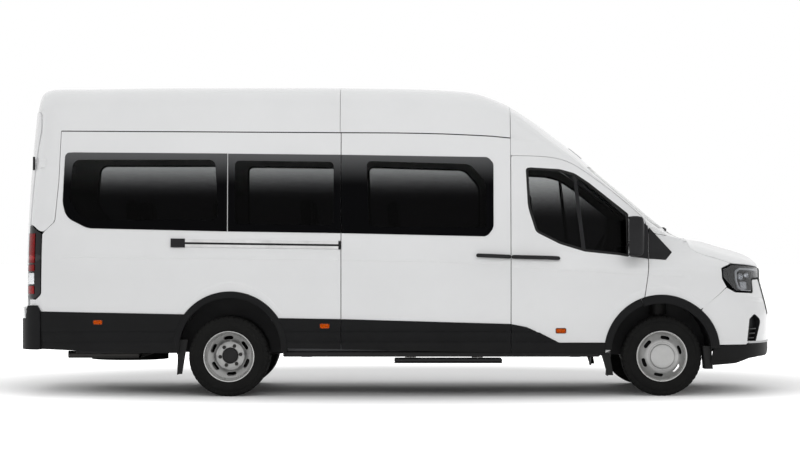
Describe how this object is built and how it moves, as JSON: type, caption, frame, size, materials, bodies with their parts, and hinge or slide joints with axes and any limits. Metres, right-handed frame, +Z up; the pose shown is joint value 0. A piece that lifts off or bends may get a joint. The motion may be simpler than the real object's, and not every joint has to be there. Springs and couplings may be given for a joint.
{
  "type": "minibus",
  "caption": "High-roof long-wheelbase passenger minibus with glazed sides, sliding side door, twin rear doors, hinged bonnet and twin rear wheels.",
  "frame": {"origin": "on the ground, at the centre of the bounding box", "axes": "+X is the driving direction, +Y the vehicle's left side, +Z up"},
  "size_m": [6.621, 2.4686, 2.6799],
  "materials": {
    "bare_steel": "satin",
    "black_plastic": "matte",
    "cast_block": "matte",
    "chassis_steel": "satin",
    "clear_lens": "gloss",
    "glass": "gloss",
    "red_lens": "gloss",
    "rubber": "matte",
    "seat_fabric": "matte",
    "tyre": "matte",
    "wheel_steel": "satin",
    "white_paint": "gloss"
  },
  "bodies": {
    "body": {"roof": "white_paint", "left_side_panel": "white_paint", "right_side_panel": "white_paint", "sliding_door": "white_paint", "side_windows": "glass", "rear_lamps": "red_lens", "cab_shell": "white_paint", "windscreen": "glass", "front_wings": "white_paint", "headlamps": "clear_lens", "grille": "black_plastic", "front_bumper": "white_paint", "crash_beam": "chassis_steel", "rear_bumper": "white_paint", "tow_crossmember": "chassis_steel", "floor": "chassis_steel", "toe_board": "chassis_steel", "wheel_housings": "chassis_steel", "chassis_frame": "chassis_steel", "front_subframe": "chassis_steel", "struts": "chassis_steel", "rear_axle": "chassis_steel", "leaf_springs": "chassis_steel", "engine": "cast_block", "propeller_shaft": "chassis_steel", "fuel_tank": "black_plastic", "exhaust": "bare_steel", "spare_wheel": "tyre", "mud_flaps": "rubber", "dashboard": "black_plastic", "steering_wheel": "black_plastic", "cab_seats": "seat_fabric", "passenger_seats": "seat_fabric"},
    "bonnet": {"bonnet": "white_paint"},
    "side_step": {"side_step": "black_plastic"},
    "front_left_door": {"front_left_door": "white_paint", "front_left_window": "glass", "front_left_mirror": "black_plastic"},
    "rear_left_door": {"rear_left_door": "white_paint", "rear_left_window": "glass"},
    "left_knuckle": {"left_knuckle": "chassis_steel"},
    "front_left_wheel": {"front_left_wheel": "wheel_steel", "front_left_tyre": "tyre"},
    "rear_left_wheels": {"rear_left_wheels": "wheel_steel", "rear_left_tyres": "tyre"},
    "front_right_door": {"front_right_door": "white_paint", "front_right_window": "glass", "front_right_mirror": "black_plastic"},
    "rear_right_door": {"rear_right_door": "white_paint", "rear_right_window": "glass"},
    "right_knuckle": {"right_knuckle": "chassis_steel"},
    "front_right_wheel": {"front_right_wheel": "wheel_steel", "front_right_tyre": "tyre"},
    "rear_right_wheels": {"rear_right_wheels": "wheel_steel", "rear_right_tyres": "tyre"}
  },
  "joints": [
    {"name": "steer_left", "type": "hinge", "parent": "body", "child": "left_knuckle", "pos_m": [2.3, 0.8, 0.345], "axis": [0, 0, 1], "range_deg": [-35, 35]},
    {"name": "front_left_wheel_spin", "type": "hinge", "parent": "left_knuckle", "child": "front_left_wheel", "pos_m": [2.3, 0.866, 0.345], "axis": [0, 1, 0], "continuous": true},
    {"name": "rear_left_wheels_spin", "type": "hinge", "parent": "body", "child": "rear_left_wheels", "pos_m": [-1.45, 0.824, 0.345], "axis": [0, 1, 0], "continuous": true},
    {"name": "front_left_door_hinge", "type": "hinge", "parent": "body", "child": "front_left_door", "pos_m": [2.19, 1.045, 1], "axis": [0, 0, -1], "range_deg": [0, 70]},
    {"name": "rear_left_door_hinge", "type": "hinge", "parent": "body", "child": "rear_left_door", "pos_m": [-3.276, 0.892, 0.6], "axis": [-0.043, 0, -0.9991], "range_deg": [0, 180]},
    {"name": "steer_right", "type": "hinge", "parent": "body", "child": "right_knuckle", "pos_m": [2.3, -0.8, 0.345], "axis": [0, 0, 1], "range_deg": [-35, 35]},
    {"name": "front_right_wheel_spin", "type": "hinge", "parent": "right_knuckle", "child": "front_right_wheel", "pos_m": [2.3, -0.866, 0.345], "axis": [0, 1, 0], "continuous": true},
    {"name": "rear_right_wheels_spin", "type": "hinge", "parent": "body", "child": "rear_right_wheels", "pos_m": [-1.45, -0.824, 0.345], "axis": [0, 1, 0], "continuous": true},
    {"name": "front_right_door_hinge", "type": "hinge", "parent": "body", "child": "front_right_door", "pos_m": [2.19, -1.045, 1], "axis": [0, 0, 1], "range_deg": [0, 70]},
    {"name": "rear_right_door_hinge", "type": "hinge", "parent": "body", "child": "rear_right_door", "pos_m": [-3.276, -0.892, 0.6], "axis": [0.043, 0, 0.9991], "range_deg": [0, 180]},
    {"name": "bonnet_hinge", "type": "hinge", "parent": "body", "child": "bonnet", "pos_m": [2.52, 0, 1.375], "axis": [0, -1, 0], "range_deg": [0, 60]},
    {"name": "side_step_slide", "type": "slide", "parent": "body", "child": "side_step", "axis": [0, -1, 0], "range_m": [0, 0.2]}
  ],
  "couplings": [
    {"joint": "steer_right", "follows": "steer_left", "ratio": 1}
  ]
}
